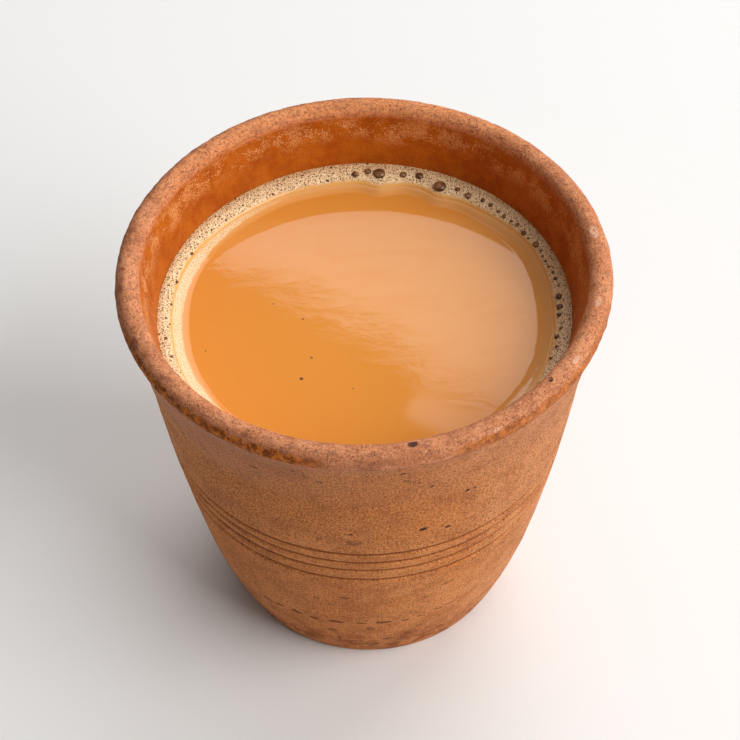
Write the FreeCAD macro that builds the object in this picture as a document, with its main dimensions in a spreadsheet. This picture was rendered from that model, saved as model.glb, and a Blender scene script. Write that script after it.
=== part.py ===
"""Masala chai in a kulhad: a thrown terracotta cup, the milky tea in it, and the ring of froth on the tea.

Each piece is a PartDesign body turned about +Z. The origin is the centre of the cup's foot, on the surface
that it stands on. Sizes are millimetres and degrees, and each one is a cell of the spreadsheet.
"""

import FreeCAD, Part
import math
import os
import Sketcher

FOLDER = "parts"

SIZES = {
    "cup_height": 75.0,
    "rim_radius": 40.0,
    # the lip is a round bead that starts under the rim and ends in the mouth
    "lip_radius": 2.0,
    "lip_under_angle": -55.0,
    "lip_mouth_angle": 155.0,
    # the outside: a hollow flare over a long belly, and a foot that tapers faster
    "neck_radius": 38.9,
    "neck_height": 70.2,
    "flare_curve": 120.0,
    "waist_radius": 36.0,
    "waist_height": 55.0,
    "belly_curve": 410.0,
    "shoulder_radius": 29.9,
    "shoulder_height": 17.2,
    "foot_curve": 136.0,
    "foot_radius": 24.8,
    "foot_round": 1.0,
    # the inside
    "waist_wall": 4.0,
    "shoulder_wall": 3.5,
    "floor_thickness": 5.0,
    "floor_radius": 22.3,
    "floor_round": 8.0,
    # the lines cut into the belly on the wheel, from the top one down
    "groove_radius": 0.45,
    "groove_height_1": 42.7,
    "groove_height_2": 40.0,
    "groove_height_3": 37.2,
    "groove_height_4": 33.9,
    # the drink, and the froth that clings to the wall and is widest at the back
    "tea_level": 62.0,
    "froth_top": 64.3,
    "froth_inner_radius": 26.0,
    "froth_inner_height": 0.5,
    "froth_hole_radius": 31.0,
    "froth_hole_back": 0.6,
    "froth_hole_left": 0.3,
    "froth_round": 0.5,
}
GROOVES = 4

# Corners of the outlines, as expressions for the distance from the axis and the height.
LIP_CENTRE = ("(Sizes.rim_radius - Sizes.lip_radius)", "(Sizes.cup_height - Sizes.lip_radius)")
LIP_TOP = (LIP_CENTRE[0], "Sizes.cup_height")
NECK = ("Sizes.neck_radius", "Sizes.neck_height")
WAIST = ("Sizes.waist_radius", "Sizes.waist_height")
SHOULDER = ("Sizes.shoulder_radius", "Sizes.shoulder_height")
FOOT = ("Sizes.foot_radius", "0")
WAIST_INSIDE = ("(Sizes.waist_radius - Sizes.waist_wall)", "Sizes.waist_height")
SHOULDER_INSIDE = ("(Sizes.shoulder_radius - Sizes.shoulder_wall)", "Sizes.shoulder_height")
FLOOR_EDGE = ("Sizes.floor_radius", "Sizes.floor_thickness")
FLOOR_MIDDLE = ("0", "Sizes.floor_thickness")
INNER_CURVE = "Sizes.belly_curve - Sizes.waist_wall"


def on_lip(angle):
    """The corner on the lip's bead at an angle from straight out."""
    return tuple(
        f"({middle} + Sizes.lip_radius * {turn}({angle}))" for middle, turn in zip(LIP_CENTRE, ("cos", "sin"))
    )


LIP_UNDER = on_lip("Sizes.lip_under_angle")
MOUTH = on_lip("Sizes.lip_mouth_angle")


def on_wall(level):
    """The corner on the inside of the cup at a level between the waist and the mouth, where it is a cone."""
    rise = f"({level} - {WAIST_INSIDE[1]}) / ({MOUTH[1]} - {WAIST_INSIDE[1]})"
    return f"{WAIST_INSIDE[0]} + ({MOUTH[0]} - {WAIST_INSIDE[0]}) * {rise}", level


def make_sheet(doc):
    """The spreadsheet of driving dimensions: a name and a plain number on each row."""
    sheet = doc.addObject("Spreadsheet::Sheet", "Sizes")
    for row, (name, number) in enumerate(SIZES.items(), start=1):
        sheet.set(f"A{row}", name)
        sheet.set(f"B{row}", str(number))
        sheet.setAlias(f"B{row}", name)
    doc.recompute()
    return sheet


def origin_part(body, role):
    """A plane or axis of the body's own origin."""
    return next(part for part in body.Origin.OriginFeatures if part.Role == role)


def make_sketch(body, name, role="XZ_Plane"):
    """An empty sketch on one of the body's origin planes."""
    sketch = body.newObject("Sketcher::SketchObject", name)
    sketch.AttachmentSupport = [(origin_part(body, role), "")]
    sketch.MapMode = "FlatFace"
    return sketch


def bind(sketch, name, expression, kind, *where):
    """Adds a dimension to the sketch and lets the expression drive it."""
    number = sketch.addConstraint(Sketcher.Constraint(kind, *where, sketch.evalExpression(expression)))
    sketch.renameConstraint(number, name)
    sketch.setExpression(f"Constraints.{name}", expression)


def bind_point(sketch, name, corner, end):
    """Holds one end of an edge, or a circle's centre, at a corner."""
    for axis, expression, axis_line in zip("XY", corner, (-2, -1)):
        if expression == "0":
            sketch.addConstraint(Sketcher.Constraint("PointOnObject", *end, axis_line))
        else:
            bind(sketch, f"{name}_{axis.lower()}", expression, f"Distance{axis}", -1, 1, *end)


def place(sketch, corner):
    """A corner as a point of the sketch's plane."""
    return FreeCAD.Vector(*(float(sketch.evalExpression(expression)) for expression in corner), 0)


def arc_between(start, end, radius, side):
    """The arc from start to end that bulges to the left (side 1) or the right (side -1) of its way."""
    chord = end - start
    left = FreeCAD.Vector(-chord.y, chord.x, 0).normalize()
    reach = math.sqrt(radius ** 2 - chord.Length ** 2 / 4)
    centre = (start + end) * 0.5 - left * reach * side
    first, last = (math.atan2(point.y - centre.y, point.x - centre.x) for point in (start, end))
    if side == 1:
        first, last = last, first
    return Part.ArcOfCircle(Part.Circle(centre, FreeCAD.Vector(0, 0, 1), radius), first, last)


def draw_outline(sketch, steps):
    """Draws a closed outline. Each step is a corner and the edge that leaves it: None for a straight
    edge, or an arc's side and radius."""
    starts, ends = [], []
    for number, (corner, arc) in enumerate(steps):
        start = place(sketch, corner)
        end = place(sketch, steps[(number + 1) % len(steps)][0])
        if arc:
            side, radius = arc
            sketch.addGeometry(arc_between(start, end, sketch.evalExpression(radius), side), False)
        else:
            sketch.addGeometry(Part.LineSegment(start, end), False)
        turned = bool(arc) and arc[0] == 1
        starts.append((number, 2 if turned else 1))
        ends.append((number, 1 if turned else 2))
    for number, (corner, arc) in enumerate(steps):
        following = starts[(number + 1) % len(steps)]
        sketch.addConstraint(Sketcher.Constraint("Coincident", *ends[number], *following))
        bind_point(sketch, f"corner_{number}", corner, starts[number])
        if arc:
            bind(sketch, f"curve_{number}", arc[1], "Radius", number)


def turn(body, kind, name, sketch):
    """Turns a sketch all the way round the cup's axis, as a Revolution or a Groove."""
    feature = body.newObject(f"PartDesign::{kind}", name)
    feature.Profile = sketch
    feature.ReferenceAxis = (origin_part(body, "Z_Axis"), [""])
    feature.Angle = 360
    sketch.Visibility = False
    return feature


def round_edge(doc, body, name, radius, corner):
    """Rounds the circular edge that passes through a corner of the outline."""
    doc.recompute()
    spot = place(body, corner)
    base = body.Tip
    for number, edge in enumerate(base.Shape.Edges, start=1):
        if edge.distToShape(Part.Vertex(spot.x, 0, spot.y))[0] < 1e-6 and edge.Length > spot.x:
            break
    fillet = body.newObject("PartDesign::Fillet", name)
    fillet.Base = (base, [f"Edge{number}"])
    fillet.setExpression("Radius", radius)


def make_kulhad(doc):
    """The clay cup, with its flared wall, beaded lip and the four lines round its belly."""
    body = doc.addObject("PartDesign::Body", "kulhad")
    body.Label = "kulhad"
    outline = make_sketch(body, "wall_outline")
    draw_outline(outline, [
        (("0", "0"), None),
        (FOOT, (-1, "Sizes.foot_curve")),
        (SHOULDER, (-1, "Sizes.belly_curve")),
        (WAIST, (1, "Sizes.flare_curve")),
        (NECK, None),
        (LIP_UNDER, (-1, "Sizes.lip_radius")),
        (LIP_TOP, (-1, "Sizes.lip_radius")),
        (MOUTH, None),
        (WAIST_INSIDE, (1, INNER_CURVE)),
        (SHOULDER_INSIDE, None),
        (FLOOR_EDGE, None),
        (FLOOR_MIDDLE, None),
    ])
    turn(body, "Revolution", "wall", outline)
    round_edge(doc, body, "foot_edge", "Sizes.foot_round", FOOT)
    round_edge(doc, body, "floor_corner", "Sizes.floor_round", FLOOR_EDGE)
    doc.recompute()
    volume = body.Shape.Volume
    turn(body, "Groove", "belly_lines", draw_grooves(body))
    doc.recompute()
    if body.Shape.Volume >= volume:
        raise RuntimeError("the belly lines cut nothing")
    return body


def draw_grooves(body):
    """Round grooves centred on the belly's curve, which is drawn again as construction."""
    sketch = make_sketch(body, "groove_outlines")
    curve = arc_between(place(sketch, SHOULDER), place(sketch, WAIST), SIZES["belly_curve"], -1)
    sketch.addGeometry(curve, True)
    bind_point(sketch, "shoulder", SHOULDER, (0, 1))
    bind_point(sketch, "waist", WAIST, (0, 2))
    bind(sketch, "belly", "Sizes.belly_curve", "Radius", 0)
    for number in range(1, GROOVES + 1):
        level = f"Sizes.groove_height_{number}"
        height = sketch.evalExpression(level)
        across = math.sqrt(curve.Radius ** 2 - (height - curve.Center.y) ** 2) + curve.Center.x
        centre = FreeCAD.Vector(across, height, 0)
        sketch.addGeometry(Part.Circle(centre, FreeCAD.Vector(0, 0, 1), SIZES["groove_radius"]), False)
        sketch.addConstraint(Sketcher.Constraint("PointOnObject", number, 3, 0))
        bind(sketch, f"level_{number}", level, "DistanceY", -1, 1, number, 3)
        bind(sketch, f"size_{number}", "Sizes.groove_radius", "Radius", number)
    return sketch


def make_chai(doc):
    """The tea, which fills the cup from its floor to the level where the froth lies on it."""
    body = doc.addObject("PartDesign::Body", "chai")
    body.Label = "chai"
    outline = make_sketch(body, "tea_outline")
    draw_outline(outline, [
        (FLOOR_MIDDLE, None),
        (FLOOR_EDGE, None),
        (SHOULDER_INSIDE, (-1, INNER_CURVE)),
        (WAIST_INSIDE, None),
        (on_wall("Sizes.tea_level"), None),
        (("0", "Sizes.tea_level"), None),
    ])
    turn(body, "Revolution", "tea", outline)
    round_edge(doc, body, "floor_corner", "Sizes.floor_round", FLOOR_EDGE)
    return body


def make_froth(doc):
    """The froth: a ring that climbs the wall from the tea, with an off-centre hole."""
    body = doc.addObject("PartDesign::Body", "froth")
    body.Label = "froth"
    outline = make_sketch(body, "ring_outline")
    draw_outline(outline, [
        (("Sizes.froth_inner_radius", "Sizes.tea_level"), None),
        (on_wall("Sizes.tea_level"), None),
        (on_wall("Sizes.froth_top"), None),
        (("Sizes.froth_inner_radius", "Sizes.tea_level + Sizes.froth_inner_height"), None),
    ])
    turn(body, "Revolution", "ring", outline)
    hole = make_sketch(body, "hole_outline", "XY_Plane")
    centre = FreeCAD.Vector(-SIZES["froth_hole_left"], -SIZES["froth_hole_back"], 0)
    hole.addGeometry(Part.Circle(centre, FreeCAD.Vector(0, 0, 1), SIZES["froth_hole_radius"]), False)
    bind(hole, "size", "Sizes.froth_hole_radius", "Radius", 0)
    bind(hole, "left", "-Sizes.froth_hole_left", "DistanceX", -1, 1, 0, 3)
    bind(hole, "back", "-Sizes.froth_hole_back", "DistanceY", -1, 1, 0, 3)
    doc.recompute()
    volume = body.Shape.Volume
    pocket = body.newObject("PartDesign::Pocket", "hole")
    pocket.Profile = hole
    pocket.Type = "ThroughAll"
    pocket.Reversed = True
    hole.Visibility = False
    doc.recompute()
    if body.Shape.Volume >= volume:
        raise RuntimeError("the froth's hole cuts nothing")
    rounding = body.newObject("PartDesign::Fillet", "hole_edge")
    rounding.Base = (pocket, sloping_curves(pocket.Shape))
    rounding.setExpression("Radius", "Sizes.froth_round")
    return body


def sloping_curves(ring):
    """The names of the curves where the hole meets the froth's sloping top: neither lines nor circles."""
    plain = (Part.Line, Part.Circle)
    edges = enumerate(ring.Edges, start=1)
    return [f"Edge{number}" for number, edge in edges if not isinstance(edge.Curve, plain)]


def check(doc, bodies):
    """Stops when an object failed to build or a body isn't one valid solid."""
    for part in doc.Objects:
        if {"Invalid", "Error"} & set(part.State):
            raise RuntimeError(f"{part.Label} failed: {part.State}")
    for body in bodies:
        shape = body.Shape
        if shape.isNull() or not shape.isValid() or len(shape.Solids) != 1:
            raise RuntimeError(f"{body.Label} is not one valid solid")


def export(bodies):
    """Writes each body to its own STEP file, named after its label."""
    os.makedirs(FOLDER, exist_ok=True)
    for body in bodies:
        body.Shape.exportStep(f"{FOLDER}/{body.Label}.step")


doc = FreeCAD.newDocument("masala_chai")
make_sheet(doc)
bodies = [make_kulhad(doc), make_chai(doc), make_froth(doc)]
doc.recompute()
check(doc, bodies)
export(bodies)
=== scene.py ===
"""Masala chai in a kulhad: the finished looks of the thrown clay cup, the tea and its froth.

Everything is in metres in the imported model's frame: the origin is the centre of the cup's foot and +Z is up.
Shapes are planned in millimetres, as (distance from the axis, height), and made by turning them round +Z.
Angles round the cup are in degrees from +X, so the front of the cup is at -90 and its back at 90.
"""

import math
import random

import bpy
from mathutils import Matrix, Vector
from mathutils.bvhtree import BVHTree


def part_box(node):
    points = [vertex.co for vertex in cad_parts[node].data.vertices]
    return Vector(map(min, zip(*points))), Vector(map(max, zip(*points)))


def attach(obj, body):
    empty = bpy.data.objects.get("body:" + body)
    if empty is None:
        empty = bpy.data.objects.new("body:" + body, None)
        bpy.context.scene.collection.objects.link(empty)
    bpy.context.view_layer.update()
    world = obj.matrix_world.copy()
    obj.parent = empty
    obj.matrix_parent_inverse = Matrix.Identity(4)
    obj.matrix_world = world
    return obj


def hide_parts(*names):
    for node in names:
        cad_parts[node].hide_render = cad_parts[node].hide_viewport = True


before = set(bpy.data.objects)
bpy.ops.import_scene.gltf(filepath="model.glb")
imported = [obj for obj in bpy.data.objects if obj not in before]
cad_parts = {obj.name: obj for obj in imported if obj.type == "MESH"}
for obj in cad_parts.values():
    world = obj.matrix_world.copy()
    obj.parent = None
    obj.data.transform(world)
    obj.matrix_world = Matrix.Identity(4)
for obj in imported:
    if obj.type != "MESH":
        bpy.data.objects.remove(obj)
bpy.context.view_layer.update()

MM = 0.001


def size_mm(node, corner, axis):
    """A measure of a CAD node's box: its low (0) or high (1) corner along one axis."""
    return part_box(node)[corner][axis] / MM


# Driving dimensions, in millimetres: the first ones are the frame's.
CUP_HEIGHT = size_mm("kulhad", 1, 2)
RIM = size_mm("kulhad", 1, 0)
TEA_LEVEL = size_mm("chai", 1, 2)
FLOOR_INSIDE = size_mm("chai", 0, 2)
BEAD = 2.0
BEAD_CENTRE = (RIM - BEAD, CUP_HEIGHT - BEAD)
BEAD_UNDER = math.radians(-55)
BEAD_MOUTH = math.radians(155)
NECK = (38.9, 70.2)
WAIST = (36.0, 55.0)
SHOULDER = (29.9, 17.2)
FOOT = (24.8, 0.0)
FOOT_ROUND = 1.0
FLARE_HOLLOW = -0.25
BELLY_BOW = 0.45
FOOT_BOW = 0.3
WAIST_WALL = 4.0
SHOULDER_WALL = 3.5
GROOVES = (42.7, 40.0, 37.2, 33.9)
GROOVE_DEPTH = 0.4
GROOVE_HALF_WIDTH = 0.48
FROTH_HOLE = 31.0
FROTH_HOLE_CENTRE = (-0.3, -0.6)

# Typical radii, along which the lengths of marks on each part of the cup are measured.
LIP_ROUND = 38
BODY_ROUND = 36
BELLY_ROUND = 31
DASH_ROUND = 29.5
# The level direction, east and north, towards which the tea turns paler: a skin of milk and a painted
# reflection.
SKIN_AND_REFLECTION_WAY = (0.576, 0.818)

# Marks in the clay: (angle, height, half length, half width).
PITS = (
    (-76, 49.7, 0.75, 0.42), (-69.3, 48.3, 0.55, 0.3), (-82, 69.2, 0.6, 0.22), (-117.8, 65.6, 0.8, 0.25),
    (-74.6, 62.9, 0.3, 0.3), (-64.7, 57.8, 0.4, 0.35), (-62.6, 57.6, 0.3, 0.25), (-95, 49.8, 0.4, 0.25),
    (-81, 66.6, 0.5, 0.16), (-79.6, 65.8, 0.45, 0.14), (-77.9, 65.0, 0.45, 0.16), (-101.3, 66.3, 0.5, 0.2),
    (-107.4, 68.7, 0.4, 0.14), (-105, 67.6, 0.35, 0.18),
)
SCORCHES = (
    (-94, 47.2, 1.2, 0.8), (-97.9, 26.8, 0.8, 0.7), (-77.5, 10.0, 0.8, 0.8), (-90.6, 14.1, 0.8, 0.7),
    (-90, 5.2, 1.8, 1.0), (-95.5, 6.8, 1.6, 0.6), (-101.9, 8.2, 0.6, 1.2), (-103.2, 47.5, 0.5, 0.4),
    (-66, 27.5, 1.2, 0.5), (-106.8, 25.0, 0.5, 0.4), (-84, 8.0, 1.2, 0.5), (-103.7, 12.0, 1.2, 0.5),
)
DASHES = (
    (-127.5, 15.4, 1.2, 0.3), (-122, 16.0, 0.9, 0.38), (-115.7, 16.2, 1.2, 0.46), (-109.4, 15.9, 0.95, 0.44),
    (-102, 16.3, 1.5, 0.48), (-93.3, 16.5, 1.1, 0.32), (-86, 16.8, 1.6, 0.5), (-78.8, 16.6, 0.8, 0.32),
    (-73.7, 17.0, 0.6, 0.22), (-67.6, 17.7, 1.1, 0.2), (-63, 18.0, 1.1, 0.16),
)
# Marks on the lip: (angle, millimetres round the bead from its outermost line, half length, half width).
LIP_BURNS = ((-79.6, 3.5, 1.0, 0.6), (-41.5, 3.4, 0.5, 0.4))
# LIP_HIGHLIGHTS are painted highlights: pale patches on the top of the lip, towards the key light.
LIP_HIGHLIGHTS = ((9, 3.2, 1.5, 0.7), (-14, 3.1, 1.2, 0.5), (-33, 2.4, 1.0, 0.4), (-60, 1.6, 0.8, 0.3))

# Where the froth's inner edge leaves its off-centre circle: (angle, how far outwards, half width in degrees).
EDGE_SWINGS = ((84, -1.3, 5.0), (64, -1.0, 5.0), (26, 0.9, 16.0), (158, 0.6, 18.0), (100, -0.4, 14.0))

# Larger bubbles in the froth: (angle, distance from the axis, radius).
BUBBLES = (
    (92, 31.8, 0.6), (88, 32.2, 0.62), (84.4, 31.8, 1.05), (77, 32.1, 0.62), (72, 32.4, 0.7),
    (64.6, 31.4, 1.1), (59, 32.0, 0.46), (55, 31.8, 0.64), (50, 32.2, 0.42), (47, 32.2, 0.4),
    (43.5, 32.0, 0.34), (41, 32.0, 0.4), (38, 32.1, 0.28),
    (35.6, 32.3, 0.38), (32, 32.1, 0.46), (29.6, 32.1, 0.26), (26, 32.4, 0.6),
    (23, 32.4, 0.26), (21, 32.2, 0.28), (18.8, 32.2, 0.28), (16.3, 32.2, 0.3), (13.7, 32.4, 0.3),
    (11, 32.4, 0.34), (8, 32.5, 0.26), (4, 32.2, 0.6), (0, 32.1, 0.6), (-3, 31.9, 0.42), (-8.5, 32.2, 0.3),
    (-11.5, 31.8, 0.46), (-15.5, 32.1, 0.3), (-20, 31.8, 0.3), (101, 31.2, 0.22), (119, 31.6, 0.24),
    (137, 31.8, 0.2), (143, 32.1, 0.22), (154, 32.1, 0.34), (166, 32.1, 0.3), (175, 32.0, 0.27),
    (-179, 32.6, 0.24), (-177, 32.0, 0.2), (-171, 32.8, 0.32), (-164, 32.6, 0.26),
)
# Bubbles and flecks alone on the tea: (angle, distance from the axis, radius).
TEA_FLECKS = (
    (-129, 16.5, 0.3), (-136, 12.1, 0.24), (167, 15.4, 0.13), (180, 10.1, 0.2), (-98, 15.3, 0.13),
    (-166, 26.8, 0.13),
)


# ---------------------------------------------------------------- outlines

def bowed(start, end, bow, step):
    """Points from start up to, but not at, end along a shallow arc that bows to the right of its way."""
    length = math.dist(start, end)
    across = ((end[1] - start[1]) / length, (start[0] - end[0]) / length)
    count = max(1, round(length / step))
    points = []
    for number in range(count):
        share = number / count
        out = 4 * bow * share * (1 - share)
        points.append(tuple(a + (b - a) * share + c * out for a, b, c in zip(start, end, across)))
    return points


def rounded(centre, radius, first, last, count):
    """Points round part of a circle, both ends included."""
    angles = [first + (last - first) * number / (count - 1) for number in range(count)]
    return [(centre[0] + radius * math.cos(a), centre[1] + radius * math.sin(a)) for a in angles]


def grooved(points):
    """The same points, pressed in where a turned line runs round the belly."""
    pressed = []
    for across, height in points:
        for groove in GROOVES:
            across -= GROOVE_DEPTH * math.exp(-((height - groove) / GROOVE_HALF_WIDTH) ** 2)
        pressed.append((across, height))
    return pressed


def wall_inside(height):
    """Radius of the inside of the cup, from the waist up to the mouth."""
    low, high = WAIST[0] - WAIST_WALL, BEAD_CENTRE[0] + BEAD * math.cos(BEAD_MOUTH)
    top = BEAD_CENTRE[1] + BEAD * math.sin(BEAD_MOUTH)
    return low + (high - low) * (height - WAIST[1]) / (top - WAIST[1])


def belly():
    """The belly from shoulder to waist, with close rows where the turned lines are."""
    low, high = GROOVES[-1] - 1, GROOVES[0] + 1
    coarse = bowed(SHOULDER, WAIST, BELLY_BOW, 0.75)
    close = [point for point in bowed(SHOULDER, WAIST, BELLY_BOW, 0.17) if low < point[1] < high]
    return [p for p in coarse if p[1] <= low] + grooved(close) + [p for p in coarse if p[1] >= high]


def cup_outline():
    """The cup's whole section: from the middle of its foot, up the outside, over the lip and down inside."""
    foot = rounded((FOOT[0] - FOOT_ROUND, FOOT_ROUND), FOOT_ROUND, math.radians(-90), math.radians(-18), 5)
    under = bowed((0, 0), foot[0], 0, 4)
    outside = foot[:-1] + bowed(foot[-1], SHOULDER, FOOT_BOW, 0.8) + belly()
    flare = bowed(WAIST, NECK, FLARE_HOLLOW, 0.7) + [NECK]
    lip = rounded(BEAD_CENTRE, BEAD, BEAD_UNDER, BEAD_MOUTH, 22)
    shown = (wall_inside(TEA_LEVEL - 2), TEA_LEVEL - 2)
    deep = (WAIST[0] - WAIST_WALL, WAIST[1])
    low = (SHOULDER[0] - SHOULDER_WALL, SHOULDER[1])
    inside = bowed(lip[-1], shown, 0, 0.6)[1:] + bowed(shown, deep, 0, 4) + bowed(deep, low, -BELLY_BOW, 5)
    floor = [low, (24.2, 11.0), (21.5, 7.0), (16.0, FLOOR_INSIDE), (8.0, FLOOR_INSIDE), (0, FLOOR_INSIDE)]
    return under + outside + flare + lip + inside + floor


# ---------------------------------------------------------------- node building

class Nodes:
    """Adds nodes to a tree. Any input takes a plain value or another node's output."""

    def __init__(self, tree):
        self.tree = tree

    def feed(self, socket, value):
        if isinstance(value, bpy.types.NodeSocket):
            self.tree.links.new(value, socket)
        else:
            socket.default_value = value

    def add(self, kind, inputs=None, out=0, **settings):
        node = self.tree.nodes.new(kind)
        for name, value in settings.items():
            setattr(node, name, value)
        for key, value in (inputs or {}).items():
            self.feed(node.inputs[key], value)
        return node.outputs[out]

    def math(self, operation, *values):
        return self.add("ShaderNodeMath", dict(enumerate(values)), operation=operation)

    def times(self, first, second):
        return self.math("MULTIPLY", first, second)

    def plus(self, first, second):
        return self.math("ADD", first, second)

    def less(self, first, second):
        return self.math("SUBTRACT", first, second)

    def either(self, first, second):
        return self.math("MAXIMUM", first, second)

    def vector(self, operation, *values):
        return self.add("ShaderNodeVectorMath", dict(enumerate(values)), operation=operation)

    def stretched(self, vector, *scale):
        return self.vector("MULTIPLY", vector, scale)

    def scaled(self, vector, scale):
        return self.add("ShaderNodeVectorMath", {0: vector, "Scale": scale}, operation="SCALE")

    def split(self, vector):
        node = self.tree.nodes.new("ShaderNodeSeparateXYZ")
        self.feed(node.inputs[0], vector)
        return tuple(node.outputs)

    def noise(self, where, scale, detail=2.0, roughness=0.5, distortion=0.0):
        inputs = {
            "Vector": where, "Scale": scale, "Detail": detail,
            "Roughness": roughness, "Distortion": distortion,
        }
        return self.add("ShaderNodeTexNoise", inputs)

    def wander(self, where, scale, reach, detail=2.0):
        """Noise that swings evenly either side of nothing."""
        return self.times(self.less(self.noise(where, scale, detail), 0.5), reach)

    def dots(self, where, scale, inner, outer, chosen, flat=False):
        """Round dots scattered at random: a share of the cells has one, full within inner, gone at outer."""
        cells = {"Vector": where, "Scale": scale, "Randomness": 0.85}
        dimensions = "2D" if flat else "3D"
        node = self.add("ShaderNodeTexVoronoi", cells, "Distance", voronoi_dimensions=dimensions).node
        rank = self.split(node.outputs["Color"])[0]
        spot = self.ramp(node.outputs["Distance"], inner, outer, 1.0, 0.0)
        return self.times(spot, self.math("LESS_THAN", rank, chosen))

    def ramp(self, value, low, high, first=0.0, last=1.0):
        """Carries the value smoothly from low..high to first..last, and holds it beyond."""
        inputs = {0: value, 1: low, 2: high, 3: first, 4: last}
        return self.add("ShaderNodeMapRange", inputs, interpolation_type="SMOOTHSTEP")

    def band(self, value, low, high, soft):
        """1 between low and high, fading out over the softness on each side."""
        rise = self.ramp(value, low - soft, low + soft)
        return self.times(rise, self.ramp(value, high - soft, high + soft, 1.0, 0.0))

    def blend(self, share, first, second):
        """Carries one colour over to another."""
        return self.add("ShaderNodeMix", {0: share, 6: first, 7: second}, 2, data_type="RGBA")

    def slide(self, share, first, second):
        """Carries one number over to another."""
        return self.add("ShaderNodeMix", {0: share, 2: first, 3: second}, 0, data_type="FLOAT")

    def attribute(self, name):
        return self.add("ShaderNodeAttribute", out="Fac", attribute_name=name)

    def bump(self, height, depth, before=None):
        """A bump whose full height is the depth in millimetres, on top of another bump if there is one."""
        inputs = {"Height": height, "Distance": depth * MM, "Strength": 1.0}
        if before:
            inputs["Normal"] = before
        return self.add("ShaderNodeBump", inputs, "Normal")


def colour(red, green, blue):
    """A display colour, 0 to 255 a channel, as the linear colour that a socket takes."""
    shares = [channel / 255 for channel in (red, green, blue)]
    linear = [s / 12.92 if s <= 0.04045 else ((s + 0.055) / 1.055) ** 2.4 for s in shares]
    return (*linear, 1.0)


def new_material(name):
    """An empty material: its node helper, its shader node and its Object coordinates in millimetres."""
    material = bpy.data.materials.new(name)
    material.use_nodes = True
    nodes = Nodes(material.node_tree)
    place = nodes.add("ShaderNodeTexCoord", out="Object")
    shader = material.node_tree.nodes["Principled BSDF"]
    return material, nodes, shader, nodes.stretched(place, 1 / MM, 1 / MM, 1 / MM)


# ---------------------------------------------------------------- finishes

class ClayPlace:
    """Where a point of the cup is, in the terms that a potter would use, as node outputs."""

    def __init__(self, n, place):
        x, y, self.height = n.split(place)
        self.east = x
        self.across = n.math("SQRT", n.plus(n.times(x, x), n.times(y, y)))
        self.angle = n.times(n.math("ARCTAN2", y, x), 180 / math.pi)
        self.turn = n.times(
            n.math("ARCTAN2", n.less(self.height, BEAD_CENTRE[1]), n.less(self.across, BEAD_CENTRE[0])),
            180 / math.pi,
        )
        self.around_bead = n.times(self.turn, math.radians(BEAD))
        along_body = n.times(self.angle, math.radians(BODY_ROUND))
        along_lip = n.times(self.angle, math.radians(LIP_ROUND))
        self.skin = n.add("ShaderNodeCombineXYZ", {0: along_body, 1: self.height})
        self.lip_skin = n.add("ShaderNodeCombineXYZ", {0: along_lip, 1: self.around_bead})
        self.inside = n.attribute("inside")
        self.bead = n.attribute("bead")
        self.grit = n.noise(place, 2.3, 4, 0.7)
        self.sand = n.noise(place, 5.5, 2, 0.6)
        self.patch = n.noise(place, 0.2, 4, 0.65)
        self.drift = n.noise(place, 0.045, 2)
        self.ragged = n.noise(place, 1.1, 4, 0.7)


def marks(n, clay, spots, level, radius):
    """1 inside the listed marks with ragged edges, 0 elsewhere. Their lengths run round a given radius."""
    angle = n.plus(clay.angle, n.times(n.less(clay.ragged, 0.5), 1.4))
    level = n.plus(level, n.times(n.less(clay.ragged, 0.5), 0.7))
    found = None
    for turn, middle, length, width in spots:
        along = n.times(n.less(angle, turn), math.radians(radius) / length)
        up = n.times(n.less(level, middle), 1 / width)
        mark = n.ramp(n.plus(n.times(along, along), n.times(up, up)), 0.5, 1.2, 1.0, 0.0)
        found = n.either(found, mark) if found else mark
    return found


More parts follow.
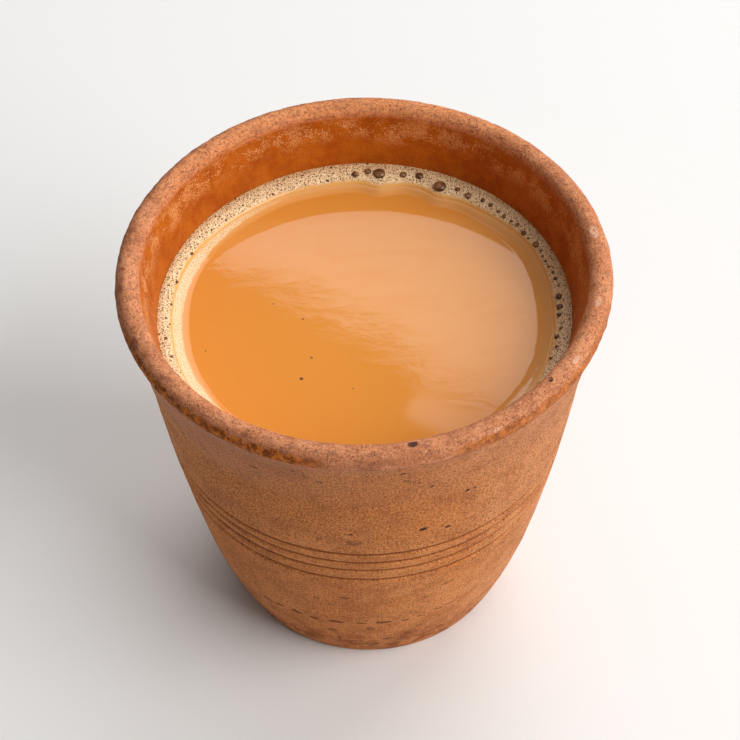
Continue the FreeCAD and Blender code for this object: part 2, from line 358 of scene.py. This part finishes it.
def dry_clay(n, place, clay):
    """Bare sandy clay: mottled orange-brown with dark grit, pits, scorches and turned lines, whose dark
    middles are painted shade and dirt, and a painted sheen that makes its right side paler.
    """
    tone = n.blend(n.ramp(clay.drift, 0.38, 0.62), colour(200, 116, 52), colour(210, 130, 70))
    # Painted sheen: the right side, towards the key light, is painted paler.
    painted_sheen_right = n.times(n.ramp(n.plus(clay.east, n.wander(place, 0.06, 20)), 6, 32), 0.55)
    tone = n.blend(painted_sheen_right, tone, colour(216, 150, 106))
    tone = n.blend(n.ramp(clay.patch, 0.42, 0.66, 0.0, 0.7), tone, colour(168, 90, 42))
    rough_half = n.ramp(clay.height, 40, 46, 0.6, 1.0)
    tone = n.blend(n.times(n.ramp(clay.grit, 0.5, 0.64, 0.0, 0.8), rough_half), tone, colour(128, 64, 28))
    tone = n.blend(n.ramp(clay.sand, 0.5, 0.64, 0.0, 0.65), tone, colour(242, 176, 118))
    crowd = n.times(n.ramp(n.noise(place, 0.07, 3, 0.6), 0.34, 0.58, 0.35, 1.0), rough_half)
    specks = n.dots(clay.skin, 1.3, 0.1, 0.24, n.times(crowd, 0.85), True)
    tone = n.blend(n.times(specks, n.ramp(clay.ragged, 0.35, 0.6, 0.3, 0.9)), tone, colour(88, 42, 20))
    fine = n.dots(clay.skin, 2.7, 0.12, 0.34, n.times(crowd, 0.6), True)
    tone = n.blend(n.times(fine, 0.6), tone, colour(100, 50, 24))
    scorch = marks(n, clay, SCORCHES, clay.height, BELLY_ROUND)
    tone = n.blend(n.times(scorch, n.ramp(clay.ragged, 0.35, 0.6, 0.2, 0.7)), tone, colour(98, 54, 34))
    dash = marks(n, clay, DASHES, clay.height, DASH_ROUND)
    tone = n.blend(n.times(dash, 0.85), tone, colour(100, 48, 14))
    foot = n.times(n.ramp(clay.height, 5, 17, 1.0, 0.0), n.ramp(n.noise(place, 0.3, 4, 0.7), 0.44, 0.6))
    tone = n.blend(n.times(foot, 0.7), tone, colour(132, 64, 24))
    pit = marks(n, clay, PITS, clay.height, BODY_ROUND)
    tone = n.blend(n.times(pit, 0.9), tone, colour(44, 24, 16))
    # Painted shade and dirt: a dark line along the middle of each turned groove.
    lines = None
    for groove in GROOVES:
        sway = n.less(clay.height, n.plus(groove, n.wander(place, 0.05, 0.3)))
        line = n.ramp(n.math("ABSOLUTE", sway), 0.12, 0.42, 1.0, 0.0)
        lines = n.either(lines, line) if lines else line
    return n.blend(n.times(lines, 0.8), tone, colour(116, 54, 20)), pit


def slip_and_sheen_veil(n, place, clay):
    """How much of the smooth veil, left by a wet finger under the lip, shows at a point: it is smoother clay,
    and its greyish tone is a painted sheen, strongest in a narrow band just under the lip.
    """
    level = n.plus(clay.height, n.wander(place, 0.08, 3.0))
    band = n.either(n.band(level, 69.2, 71.8, 0.8), n.times(n.band(level, 60, 71.8, 3.5), 0.5))
    streaks = n.ramp(n.noise(n.stretched(place, 0.05, 0.05, 2.6), 1.0, 2), 0.36, 0.6, 0.45, 1.0)
    to_left = n.ramp(n.plus(clay.east, n.wander(place, 0.05, 24)), -34, 4, 1.0, 0.35)
    return n.times(n.times(band, n.less(1.0, clay.inside)), n.times(streaks, to_left))


def lip_clay(n, place, clay):
    """The lip: rosy and rough on top, stained orange-brown by tea low on its outside, with painted shade on
    its outer side at the left and painted highlights on its top at the right.
    """
    tone = n.blend(n.ramp(clay.patch, 0.36, 0.6), colour(230, 152, 104), colour(204, 126, 80))
    tone = n.blend(n.times(n.band(clay.angle, 50, 150, 24), 0.6), tone, colour(250, 158, 92))
    streaks = n.noise(n.stretched(clay.lip_skin, 0.5, 1.5, 1.0), 1.0, 4, 0.7)
    # Painted shade: the outer side of the bead on the left, away from the key light, is painted darker.
    shaded_far_edge = n.ramp(n.plus(clay.turn, n.wander(place, 0.3, 60, 3)), 30, 95, 0.85, 0.0)
    to_left = n.ramp(n.plus(clay.east, n.wander(place, 0.05, 16)), -20, 14, 1.0, 0.25)
    tone = n.blend(n.times(shaded_far_edge, to_left), tone, colour(178, 104, 66))
    tone = n.blend(n.ramp(streaks, 0.5, 0.66, 0.0, 0.7), tone, colour(142, 80, 58))
    tone = n.blend(n.ramp(clay.grit, 0.46, 0.62, 0.0, 0.6), tone, colour(136, 74, 50))
    tone = n.blend(n.ramp(clay.sand, 0.5, 0.64, 0.0, 0.45), tone, colour(246, 186, 144))
    outer = n.ramp(clay.turn, 60, 110, 1.0, 0.35)
    # Dark mottling, heaviest on the bead's outer side and on the left.
    dark_mottle = n.times(n.ramp(n.noise(place, 0.34, 4, 0.7), 0.5, 0.64), n.times(outer, to_left))
    tone = n.blend(n.times(dark_mottle, 0.7), tone, n.blend(clay.ragged, colour(150, 84, 54), colour(110, 60, 48)))
    edge = n.plus(clay.turn, n.wander(place, 0.5, 70, 4))
    low = n.band(edge, -90, 36, 8)
    reach = n.plus(clay.angle, n.wander(place, 0.25, 24, 3))
    sides = n.either(n.band(reach, -162, -99, 4), n.times(n.band(reach, -70, -20, 6), 0.7))
    stain = n.times(n.times(low, sides), n.ramp(n.noise(place, 0.9, 4, 0.7), 0.3, 0.5, 0.65, 1.0))
    tea_brown = n.blend(n.ramp(clay.ragged, 0.4, 0.6), colour(208, 114, 34), colour(126, 62, 18))
    tone = n.blend(stain, tone, tea_brown)
    spots = n.dots(clay.lip_skin, 1.6, 0.1, 0.3, 0.12, True)
    tone = n.blend(n.times(spots, 0.7), tone, colour(88, 44, 30))
    # Painted highlights on the lip's top, speckled by the grit.
    lip_highlight = marks(n, clay, LIP_HIGHLIGHTS, clay.around_bead, LIP_ROUND)
    tone = n.blend(n.times(lip_highlight, n.ramp(clay.grit, 0.35, 0.6, 0.0, 0.7)), tone, colour(240, 196, 168))
    burn = marks(n, clay, LIP_BURNS, clay.around_bead, LIP_ROUND)
    return n.blend(n.times(burn, n.ramp(clay.ragged, 0.3, 0.55, 0.5, 0.95)), tone, colour(72, 44, 42))


def damp_clay(n, place, clay):
    """The inside: deep orange where tea soaked it, with a sparkle of pale sand half way up."""
    tone = n.blend(n.ramp(clay.patch, 0.38, 0.66), colour(196, 102, 20), colour(174, 80, 8))
    tone = n.blend(n.ramp(clay.grit, 0.48, 0.68, 0.0, 0.35), tone, colour(140, 62, 6))
    level = n.plus(clay.height, n.wander(place, 0.16, 4.5, 4))
    sandy = n.band(level, 69.0, 72.8, 1.4)
    crowd = n.ramp(n.noise(place, 0.22, 4, 0.7), 0.4, 0.62)
    sparkle = n.either(n.dots(clay.skin, 2.6, 0.18, 0.42, n.times(crowd, 0.9), True),
                       n.dots(clay.skin, 4.0, 0.18, 0.42, n.times(crowd, 0.9), True))
    tone = n.blend(n.times(n.times(sandy, crowd), 0.4), tone, colour(218, 132, 62))
    return n.blend(n.times(n.times(sandy, sparkle), 0.6), tone, colour(250, 190, 130))


def clay_finish():
    """Unglazed terracotta: dry outside, rosy on the lip, damp inside."""
    material, n, shader, place = new_material("terracotta")
    clay = ClayPlace(n, place)
    tone, pit = dry_clay(n, place, clay)
    slip_and_sheen = slip_and_sheen_veil(n, place, clay)
    # Painted sheen: the greyish tone of the smooth slip under the lip.
    tone = n.blend(n.times(slip_and_sheen, 0.8), tone, colour(162, 116, 96))
    lip = n.times(n.ramp(clay.bead, 0.25, 0.75), n.ramp(clay.turn, -60, -44))
    tone = n.blend(lip, tone, lip_clay(n, place, clay))
    level = n.plus(clay.height, n.wander(place, 0.12, 1.4, 3))
    damp = n.times(clay.inside, n.ramp(level, 72.6, 73.9, 1.0, 0.0))
    tone = n.blend(damp, tone, damp_clay(n, place, clay))
    n.feed(shader.inputs["Base Color"], tone)
    rough = n.slide(slip_and_sheen, n.ramp(clay.grit, 0.3, 0.7, 0.72, 0.9), 0.5)
    n.feed(shader.inputs["Roughness"], n.slide(damp, rough, n.ramp(clay.grit, 0.3, 0.7, 0.28, 0.5)))
    shader.inputs["Specular IOR Level"].default_value = 0.2
    rings = n.noise(n.stretched(place, 0.12, 0.12, 3.2), 1.0, 3, 0.6)
    surface = n.bump(n.plus(clay.grit, n.times(clay.sand, 0.5)), 0.1)
    surface = n.bump(rings, 0.06, surface)
    surface = n.bump(pit, -0.3, surface)
    n.feed(shader.inputs["Normal"], surface)
    return material


def tea_finish():
    """Opaque milky tea: glossy, with a faint wispy paleness on its back right, part milk skin and part painted
    reflection, and thin froth along its left edge.
    """
    material, n, shader, place = new_material("milky_tea")
    x, y, _ = n.split(place)
    slant = n.plus(n.times(x, SKIN_AND_REFLECTION_WAY[0]), n.times(y, SKIN_AND_REFLECTION_WAY[1]))
    beyond = n.plus(slant, n.wander(place, 0.09, 14, 4))
    wisps = n.noise(n.stretched(place, 0.45, 1.0, 1.0), 0.3, 5, 0.65, 0.6)
    # Painted reflection and milk skin: the back right of the tea is painted paler, with wispy edges, and stops
    # where the back wall's reflection begins.
    skin = n.times(n.ramp(beyond, -5, 5), n.ramp(wisps, 0.3, 0.6, 0.5, 1.0))
    skin = n.times(skin, n.ramp(y, 21, 24, 1.0, 0.0))
    tone = n.blend(skin, colour(230, 148, 62), colour(233, 156, 78))
    tone = n.blend(n.times(n.attribute("climb"), 0.6), tone, colour(238, 182, 118))
    across = n.math("SQRT", n.plus(n.times(x, x), n.times(y, y)))
    thin = n.ramp(n.plus(across, n.wander(place, 0.6, 0.5, 3)), 29.9, 30.3)
    thin = n.times(thin, n.ramp(x, -24, -12, 1.0, 0.0))
    dots = n.times(n.dots(place, 2.9, 0.14, 0.34, 0.8, True), 0.7)
    tone = n.blend(n.times(thin, 0.9), tone, n.blend(dots, colour(250, 212, 162), colour(150, 96, 52)))
    n.feed(shader.inputs["Base Color"], tone)
    shader.inputs["Roughness"].default_value = 0.04
    shader.inputs["IOR"].default_value = 1.36
    edge = n.times(n.band(slant, -7, 5, 4), n.ramp(y, 8, 16, 1.0, 0.0))
    n.feed(shader.inputs["Normal"], n.bump(n.times(wisps, edge), 0.045))
    return material


def froth_finish():
    """Cream froth, dotted all over with tiny bubbles, and thin and smooth at its inner edge."""
    material, n, shader, place = new_material("froth")
    share = n.attribute("share")
    body = n.ramp(n.plus(share, n.wander(place, 0.7, 0.16, 3)), 0.12, 0.24)
    tone = n.blend(n.ramp(n.noise(place, 0.6, 3), 0.35, 0.65), colour(253, 218, 168), colour(246, 204, 152))
    tone = n.blend(n.ramp(share, 0.55, 1.0, 0.0, 0.5), tone, colour(206, 156, 104))
    coarse = n.dots(place, 1.5, 0.1, 0.27, 0.6, True)
    fine = n.dots(place, 2.9, 0.16, 0.38, n.ramp(share, 0.1, 0.8, 0.7, 1.0), True)
    dots = n.either(coarse, n.times(fine, 0.75))
    tone = n.blend(n.times(dots, 0.9), tone, colour(104, 58, 24))
    tone = n.blend(body, colour(240, 178, 100), tone)
    n.feed(shader.inputs["Base Color"], tone)
    n.feed(shader.inputs["Roughness"], n.slide(body, 0.15, 0.42))
    n.feed(shader.inputs["Normal"], n.bump(n.times(dots, body), -0.07))
    return material


def bubble_finish():
    """The skin of a bubble: glossy brown, with a dark ring of painted shade where it meets the froth."""
    material, n, shader, place = new_material("bubble_skin")
    dome = n.attribute("dome")
    top = n.blend(n.ramp(n.noise(place, 0.55, 2), 0.4, 0.6), colour(150, 104, 64), colour(100, 62, 34))
    # Painted shade: a dark ring at the bubble's foot, for its dark outline and the crease where it meets the
    # froth.
    tone = n.blend(n.ramp(dome, 0.08, 0.36), colour(60, 32, 16), top)
    n.feed(shader.inputs["Base Color"], tone)
    shader.inputs["Roughness"].default_value = 0.18
    return material


# ---------------------------------------------------------------- geometry trees

def new_tree(name, sizes):
    """A geometry tree with named number inputs: the tree, its node helper and its inputs by name."""
    tree = bpy.data.node_groups.new(name, "GeometryNodeTree")
    tree.interface.new_socket("Geometry", in_out="INPUT", socket_type="NodeSocketGeometry")
    for size in sizes:
        tree.interface.new_socket(size, in_out="INPUT", socket_type="NodeSocketFloat")
    tree.interface.new_socket("Geometry", in_out="OUTPUT", socket_type="NodeSocketGeometry")
    given = tree.nodes.new("NodeGroupInput").outputs
    return tree, Nodes(tree), {socket.name: socket for socket in given if socket.name}


def finish_tree(tree, n, geometry, material):
    """Ends a tree: real faces, smooth shading, one material."""
    geometry = n.add("GeometryNodeRealizeInstances", {"Geometry": geometry})
    geometry = n.add("GeometryNodeSetShadeSmooth", {"Geometry": geometry})
    geometry = n.add("GeometryNodeSetMaterial", {"Geometry": geometry, "Material": material})
    n.feed(tree.nodes.new("NodeGroupOutput").inputs[0], geometry)


def make_piece(name, mesh, tree, sizes):
    """Runs a mesh through a tree and keeps the result as a plain mesh object."""
    source = bpy.data.objects.new(name + "_source", mesh)
    bpy.context.scene.collection.objects.link(source)
    modifier = source.modifiers.new("tree", "NODES")
    modifier.node_group = tree
    for socket in tree.interface.items_tree:
        if socket.in_out == "INPUT" and socket.name in sizes:
            modifier[socket.identifier] = float(sizes[socket.name])
    view = bpy.context.evaluated_depsgraph_get()
    result = bpy.data.meshes.new_from_object(source.evaluated_get(view), depsgraph=view)
    source.modifiers.remove(modifier)
    bpy.data.objects.remove(source)
    result.name = name
    piece = bpy.data.objects.new(name, result)
    bpy.context.scene.collection.objects.link(piece)
    return piece


def points_mesh(name, points, marks):
    """Loose points in millimetres, with the named marks that they carry."""
    mesh = bpy.data.meshes.new(name)
    mesh.from_pydata([(x * MM, y * MM, z * MM) for x, y, z in points], [], [])
    for mark, values in marks.items():
        layer = mesh.attributes.new(mark, "FLOAT", "POINT")
        layer.data.foreach_set("value", values)
    return mesh


def section_mesh(name, outline, marks):
    """A section as a row of points, with the named marks that they carry."""
    return points_mesh(name, [(across, 0, height) for across, height in outline], marks)


def named(n, mark):
    """The value of a named mark, inside a geometry tree."""
    return n.add("GeometryNodeInputNamedAttribute", {"Name": mark}, data_type="FLOAT")


def stored(n, geometry, mark, value):
    """The same geometry with a named mark on its points."""
    inputs = {"Geometry": geometry, "Name": mark, "Value": value}
    return n.add("GeometryNodeStoreNamedAttribute", inputs, data_type="FLOAT", domain="POINT")


def shifted(n, geometry, offset):
    """The same geometry with its points moved."""
    return n.add("GeometryNodeSetPosition", {"Geometry": geometry, "Offset": offset})


def turned(n, given, marks, place_row=None):
    """Turns the given section round +Z. place_row may work out (across, height) from a row and its angle."""
    section = given["Geometry"]
    rows = n.add("GeometryNodeAttributeDomainSize", {"Geometry": section})
    grid = n.add("GeometryNodeMeshGrid", {"Vertices X": n.plus(given["Segments"], 1.0), "Vertices Y": rows})
    index = n.add("GeometryNodeInputIndex")
    row = n.math("MODULO", index, rows)
    column = n.math("FLOOR", n.math("DIVIDE", n.plus(index, 0.5), rows))
    position = n.add("GeometryNodeInputPosition")
    sampled = {"Geometry": section, "Value": position, "Index": row}
    across, _, height = n.split(n.add("GeometryNodeSampleIndex", sampled, data_type="FLOAT_VECTOR"))
    angle = n.math("DIVIDE", n.times(column, math.tau), given["Segments"])
    if place_row:
        across, height = place_row(across, height, angle)
    east = n.times(across, n.math("COSINE", angle))
    north = n.times(across, n.math("SINE", angle))
    spot = n.add("ShaderNodeCombineXYZ", {0: east, 1: north, 2: height})
    for mark in marks:
        sampled = {"Geometry": section, "Value": named(n, mark), "Index": row}
        grid = stored(n, grid, mark, n.add("GeometryNodeSampleIndex", sampled, data_type="FLOAT"))
    shape = n.add("GeometryNodeSetPosition", {"Geometry": grid, "Position": spot})
    return n.add("GeometryNodeMergeByDistance", {"Geometry": shape, "Distance": 1e-6})


def froth_edge(n, angle):
    """Radius of the froth's inner edge at an angle: an off-centre circle that swings and wanders a little."""
    centre_x, centre_y = (measure * MM for measure in FROTH_HOLE_CENTRE)
    turn_x, turn_y = n.math("COSINE", angle), n.math("SINE", angle)
    along = n.plus(n.times(turn_x, centre_x), n.times(turn_y, centre_y))
    aside = n.less(n.times(turn_y, centre_x), n.times(turn_x, centre_y))
    reach = n.less((FROTH_HOLE * MM) ** 2, n.times(aside, aside))
    edge = n.plus(along, n.math("SQRT", reach))
    for place, out, width in EDGE_SWINGS:
        apart = n.times(n.less(1.0, n.math("COSINE", n.less(angle, math.radians(place)))), 2.0)
        swing = n.math("EXPONENT", n.times(apart, -1 / math.radians(width) ** 2))
        edge = n.plus(edge, n.times(swing, out * MM))
    ring = n.add("ShaderNodeCombineXYZ", {0: turn_x, 1: turn_y})
    return n.plus(edge, n.wander(ring, 4.0, 0.7 * MM, 3))


def worked(n, given, shape):
    """Presses the marks of the hand and the wheel into the clay."""
    spot = n.add("GeometryNodeInputPosition")
    height = n.split(spot)[2]
    rings = n.wander(n.stretched(spot, 25, 25, 520), 1.0, given["Wheel lines"])
    lumps = n.wander(spot, 170.0, given["Lumps"], 3)
    rough = n.times(n.wander(spot, 620.0, given["Lip roughness"], 3), named(n, "bead"))
    depth = n.plus(n.plus(rings, lumps), rough)
    outwards = n.vector("NORMALIZE", n.stretched(spot, 1, 1, 0))
    sway = n.scaled(outwards, n.wander(spot, 13.0, given["Sway"], 1))
    moved = n.vector("ADD", n.scaled(n.add("GeometryNodeInputNormal"), depth), sway)
    above_foot = n.ramp(height, 0.3 * MM, 4 * MM)
    return shifted(n, shape, n.scaled(moved, above_foot))


# ---------------------------------------------------------------- pieces

def make_kulhad():
    """The clay cup, turned from its section and worked by hand."""
    outline = cup_outline()
    around_bead = [max(0.0, 1 - max(0.0, math.dist(point, BEAD_CENTRE) - BEAD) / 1.5) for point in outline]
    mouth = outline.index(max(outline, key=lambda point: point[1]))
    inside = [min(1.0, max(0.0, (number - mouth) / 6)) for number in range(len(outline))]
    mesh = section_mesh("cup_section", outline, {"bead": around_bead, "inside": inside})
    tree, n, given = new_tree("turn_and_work", ["Segments", "Sway", "Wheel lines", "Lumps", "Lip roughness"])
    shape = turned(n, given, ("bead", "inside"))
    finish_tree(tree, n, worked(n, given, shape), clay_finish())
    return make_piece("kulhad_clay", mesh, tree, {
        "Segments": 440, "Sway": 0.7 * MM, "Wheel lines": 0.16 * MM, "Lumps": 0.2 * MM,
        "Lip roughness": 0.35 * MM,
    })


def make_tea():
    """The tea: its still surface climbs a little to the froth, and its side reaches just into the wall."""
    into_wall = 0.3
    step = 0.25
    edge = wall_inside(TEA_LEVEL) + into_wall
    rim = [(edge - number * step, TEA_LEVEL) for number in range(round(9 / step))]
    middle = [(rim[-1][0] * share / 20, TEA_LEVEL) for share in range(19, -1, -1)]
    low = (SHOULDER[0] - SHOULDER_WALL + into_wall, SHOULDER[1])
    deep = (WAIST[0] - WAIST_WALL + into_wall, WAIST[1])
    side = [(21.5, FLOOR_INSIDE), low] + bowed(low, deep, BELLY_BOW, 5)[1:] + [deep]
    outline = [(0, FLOOR_INSIDE), (12, FLOOR_INSIDE)] + side + rim + middle
    surface = [float(height == TEA_LEVEL) for _, height in outline]
    tree, n, given = new_tree("pour_tea", ["Segments", "Climb", "Climb width", "Narrower at back"])
    shape = turned(n, given, ("surface",))
    x, y, _ = n.split(n.add("GeometryNodeInputPosition"))
    across = n.math("SQRT", n.plus(n.times(x, x), n.times(y, y)))
    angle = n.math("ARCTAN2", y, x)
    gap = n.less(froth_edge(n, angle), across)
    back = n.either(n.math("SINE", angle), 0.0)
    width = n.less(given["Climb width"], n.times(n.times(back, back), given["Narrower at back"]))
    climb = n.math("MINIMUM", n.either(n.less(1.0, n.math("DIVIDE", gap, width)), 0.0), 1.0)
    shape = stored(n, shape, "climb", n.times(climb, named(n, "surface")))
    steep = n.plus(n.times(named(n, "climb"), 0.55), 0.45)
    rise = n.times(n.times(named(n, "climb"), steep), given["Climb"])
    shape = shifted(n, shape, n.add("ShaderNodeCombineXYZ", {2: rise}))
    finish_tree(tree, n, shape, tea_finish())
    return make_piece("chai_surface", section_mesh("tea_section", outline, {"surface": surface}), tree, {
        "Segments": 300, "Climb": 0.7 * MM, "Climb width": 2.4 * MM, "Narrower at back": 1.4 * MM,
    })


def froth_height(share):
    """Height of the froth above the tea, from its inner edge (0) to the wall (1)."""
    crown = 0.75 + 1.3 * share + 0.35 * math.sin(math.pi * share)
    return crown * min(1.0, share * 10) ** 0.5


def make_froth():
    """The froth: a ring between its swinging inner edge and the wall, rising outwards, lumpy with bubbles."""
    count = 34
    top = [(number / count, froth_height(number / count)) for number in range(count + 1)]
    outline = top + [(1.0, -0.3), (0.5, -0.3), (0.0, -0.3), top[0]]
    mesh = section_mesh("froth_section", outline, {"share": [share for share, _ in outline]})
    tree, n, given = new_tree("ring_of_froth", ["Segments", "Wall", "Level", "Lumps"])

    def across_ring(share, height, angle):
        inner = froth_edge(n, angle)
        width = n.less(given["Wall"], inner)
        return n.plus(inner, n.times(width, n.math("DIVIDE", share, MM))), n.plus(height, given["Level"])

    shape = turned(n, given, ("share",), across_ring)
    spot = n.add("GeometryNodeInputPosition")
    cells = n.add("ShaderNodeTexVoronoi", {"Vector": spot, "Scale": 1500.0}, "Distance")
    bumps = n.plus(n.less(0.5, cells), n.wander(spot, 500.0, 1.0, 3))
    above = n.math("GREATER_THAN", n.split(spot)[2], TEA_LEVEL * MM)
    body = n.times(above, n.ramp(named(n, "share"), 0.05, 0.25))
    lift = n.times(n.times(bumps, given["Lumps"]), body)
    shape = shifted(n, shape, n.add("ShaderNodeCombineXYZ", {2: lift}))
    finish_tree(tree, n, shape, froth_finish())
    return make_piece("froth_ring", mesh, tree, {
        "Segments": 1100, "Wall": (wall_inside(63.2) + 0.2) * MM, "Level": TEA_LEVEL * MM, "Lumps": 0.1 * MM,
    })


def resting_places(piece, spots):
    """The points of a piece's top surface over places given as (angle, distance from the axis)."""
    faces = [tuple(face.vertices) for face in piece.data.polygons]
    surface = BVHTree.FromPolygons([corner.co for corner in piece.data.vertices], faces)
    found = []
    for angle, across in spots:
        turn = math.radians(angle)
        above = Vector((across * math.cos(turn), across * math.sin(turn), CUP_HEIGHT * 2)) * MM
        found.append(tuple(surface.ray_cast(above, Vector((0, 0, -1)))[0] / MM))
    return found


def make_domes(name, spots, radii, flatness, detail, material):
    """Bubbles that stand half out of what they float on."""
    tree, n, given = new_tree("blow_" + name, ["Flatness", "Detail"])
    ball = n.add("GeometryNodeMeshIcoSphere", {"Radius": 1.0, "Subdivisions": given["Detail"]})
    up = n.split(n.add("GeometryNodeInputPosition"))[2]
    ball = stored(n, ball, "dome", up)
    size = named(n, "radius")
    scale = n.add("ShaderNodeCombineXYZ", {0: size, 1: size, 2: n.times(size, given["Flatness"])})
    placed = n.add("GeometryNodeInstanceOnPoints", {
        "Points": given["Geometry"], "Instance": ball, "Scale": scale,
    })
    finish_tree(tree, n, placed, material)
    mesh = points_mesh(name + "_places", spots, {"radius": [radius * MM for radius in radii]})
    return make_piece(name, mesh, tree, {"Flatness": flatness, "Detail": detail})


def make_large_bubbles(froth, material):
    """The bubbles that are large enough to see one by one in the froth."""
    spots = resting_places(froth, [(angle, across) for angle, across, _ in BUBBLES])
    return make_domes("froth_bubbles", spots, [radius for _, _, radius in BUBBLES], 0.62, 4, material)


def make_small_bubbles(froth, material):
    """Many small bubbles, in the outer half of the froth."""
    draw = random.Random(31)
    spots, radii = [], []
    for _ in range(170):
        angle = draw.uniform(-180, 180)
        across = draw.uniform(32.1, 33.9)
        near = min(math.hypot(math.radians((angle - a + 180) % 360 - 180) * r, across - r) - size
                   for a, r, size in BUBBLES)
        radius = draw.choice((0.1, 0.12, 0.14, 0.18))
        if near > radius + 0.1:
            spots.append((angle, across))
            radii.append(radius)
    return make_domes("froth_fine_bubbles", resting_places(froth, spots), radii, 0.6, 2, material)


def grain_finish():
    """Grains of fired grit that stand out of the lip: mostly clay-coloured, some pale, some red."""
    material, n, shader, place = new_material("clay_grains")
    pick = n.noise(place, 0.4, 2)
    tone = n.blend(n.ramp(pick, 0.42, 0.46), colour(186, 84, 58), colour(200, 124, 80))
    tone = n.blend(n.ramp(pick, 0.56, 0.6), tone, colour(238, 190, 160))
    n.feed(shader.inputs["Base Color"], tone)
    shader.inputs["Roughness"].default_value = 0.6
    n.feed(shader.inputs["Normal"], n.bump(n.noise(place, 6.0, 2), 0.05))
    return material


def make_lip_grains(cup):
    """Grains of grit on the lip, and the one large pimple on its left."""
    draw = random.Random(12)
    spots, radii = [(179.5, 38.3)], [0.42]
    for _ in range(90):
        spots.append((draw.uniform(-180, 180), draw.uniform(36.6, 39.2)))
        radii.append(draw.choice((0.08, 0.1, 0.13, 0.17)))
    return make_domes("lip_grains", resting_places(cup, spots), radii, 0.7, 2, grain_finish())


def make_tea_flecks(tea, material):
    """The few small bubbles that float alone on the tea."""
    spots = resting_places(tea, [(angle, across) for angle, across, _ in TEA_FLECKS])
    return make_domes("tea_bubbles", spots, [radius for _, _, radius in TEA_FLECKS], 0.4, 3, material)


# ---------------------------------------------------------------- studio

def make_floor():
    """A plain pale floor."""
    mesh = bpy.data.meshes.new("floor")
    half = 2.0
    corners = [(-half, -half, 0), (half, -half, 0), (half, half, 0), (-half, half, 0)]
    mesh.from_pydata(corners, [], [(0, 1, 2, 3)])
    floor = bpy.data.objects.new("floor", mesh)
    bpy.context.scene.collection.objects.link(floor)
    material = bpy.data.materials.new("pale_floor")
    material.use_nodes = True
    shader = material.node_tree.nodes["Principled BSDF"]
    shader.inputs["Base Color"].default_value = colour(244, 243, 241)
    shader.inputs["Roughness"].default_value = 0.7
    mesh.materials.append(material)


def direction(azimuth, elevation):
    """The way to look from the cup: a compass angle from +X and a height angle, in degrees."""
    turn, lift = math.radians(azimuth), math.radians(elevation)
    return Vector((math.cos(lift) * math.cos(turn), math.cos(lift) * math.sin(turn), math.sin(lift)))


def back_card(corners, distance, radiance):
    """A glowing card behind the cup, whose slanted shape the tea mirrors. Its corners are directions."""
    target = Vector((0, 0, TEA_LEVEL * MM))
    mesh = bpy.data.meshes.new("back_card")
    places = [target + direction(*corner) * distance for corner in corners]
    mesh.from_pydata(places, [], [tuple(range(len(places)))])
    material = bpy.data.materials.new("glowing_card")
    material.use_nodes = True
    shader = material.node_tree.nodes["Principled BSDF"]
    shader.inputs["Base Color"].default_value = (0, 0, 0, 1)
    shader.inputs["Emission Color"].default_value = (1, 1, 1, 1)
    shader.inputs["Emission Strength"].default_value = radiance
    mesh.materials.append(material)
    card = bpy.data.objects.new("back_card", mesh)
    card.visible_camera = False
    bpy.context.scene.collection.objects.link(card)


def softbox(name, azimuth, elevation, distance, width, height, radiance):
    """A white area light that looks at the cup from a compass angle (degrees from +X) and a height angle."""
    light = bpy.data.lights.new(name, "AREA")
    light.shape = "RECTANGLE"
    light.size, light.size_y = width, height
    light.energy = radiance * math.pi * width * height
    lamp = bpy.data.objects.new(name, light)
    target = Vector((0, 0, TEA_LEVEL * MM))
    way = direction(azimuth, elevation)
    lamp.location = target + way * distance
    lamp.rotation_euler = (-way).to_track_quat("-Z", "Y").to_euler()
    lamp.visible_camera = False
    bpy.context.scene.collection.objects.link(lamp)


def light_studio():
    """A softbox on the right, panels behind, a weak fill in front, and a dim pale room."""
    softbox("key", -25, 38, 1.5, 1.2, 1.2, 4.8)
    softbox("side_panel", 56.5, 46.5, 1.6, 1.12, 0.53, 3.0)
    softbox("low_panel", 71, 26.5, 1.6, 2.1, 0.58, 2.8)
    softbox("overhead", 90, 82, 1.5, 1.0, 1.0, 0.7)
    back_card(((100, 44.2), (78, 44.2), (78, 53)), 1.6, 3.5)
    softbox("fill", -80, 50, 1.8, 1.6, 1.0, 0.2)
    world = bpy.data.worlds.new("room")
    world.use_nodes = True
    world.node_tree.nodes["Background"].inputs["Color"].default_value = (1, 1, 1, 1)
    world.node_tree.nodes["Background"].inputs["Strength"].default_value = 0.11
    bpy.context.scene.world = world
    bpy.context.scene.view_settings.view_transform = "Standard"


def place_camera():
    """A long lens that looks down into the cup from the front."""
    lens_height, reach, roll = math.radians(47.3), 0.3626, math.radians(-1.155)
    middle = Vector((0, 0, BEAD_CENTRE[1] * MM))
    spot = middle + Vector((0, -math.cos(lens_height), math.sin(lens_height))) * reach
    aim = Vector((0.0007, 0, 0.0486))
    camera = bpy.data.cameras.new("camera")
    camera.lens = 109.5
    camera.sensor_width = 36
    camera.clip_start = 0.01
    eye = bpy.data.objects.new("camera", camera)
    turn = (aim - spot).to_track_quat("-Z", "Y").to_matrix().to_4x4()
    eye.matrix_world = Matrix.Translation(spot) @ turn @ Matrix.Rotation(roll, 4, "Z")
    bpy.context.scene.collection.objects.link(eye)
    bpy.context.scene.camera = eye


place_camera()
light_studio()
make_floor()
cup, tea, froth = make_kulhad(), make_tea(), make_froth()
for piece, node, slot in ((cup, "kulhad", "clay"), (tea, "chai", "tea"), (froth, "froth", "froth")):
    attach(piece, "root")
    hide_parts(node)
grains = make_lip_grains(cup)
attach(grains, "root")
skin = bubble_finish()
for piece in (make_large_bubbles(froth, skin), make_small_bubbles(froth, skin), make_tea_flecks(tea, skin)):
    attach(piece, "root")
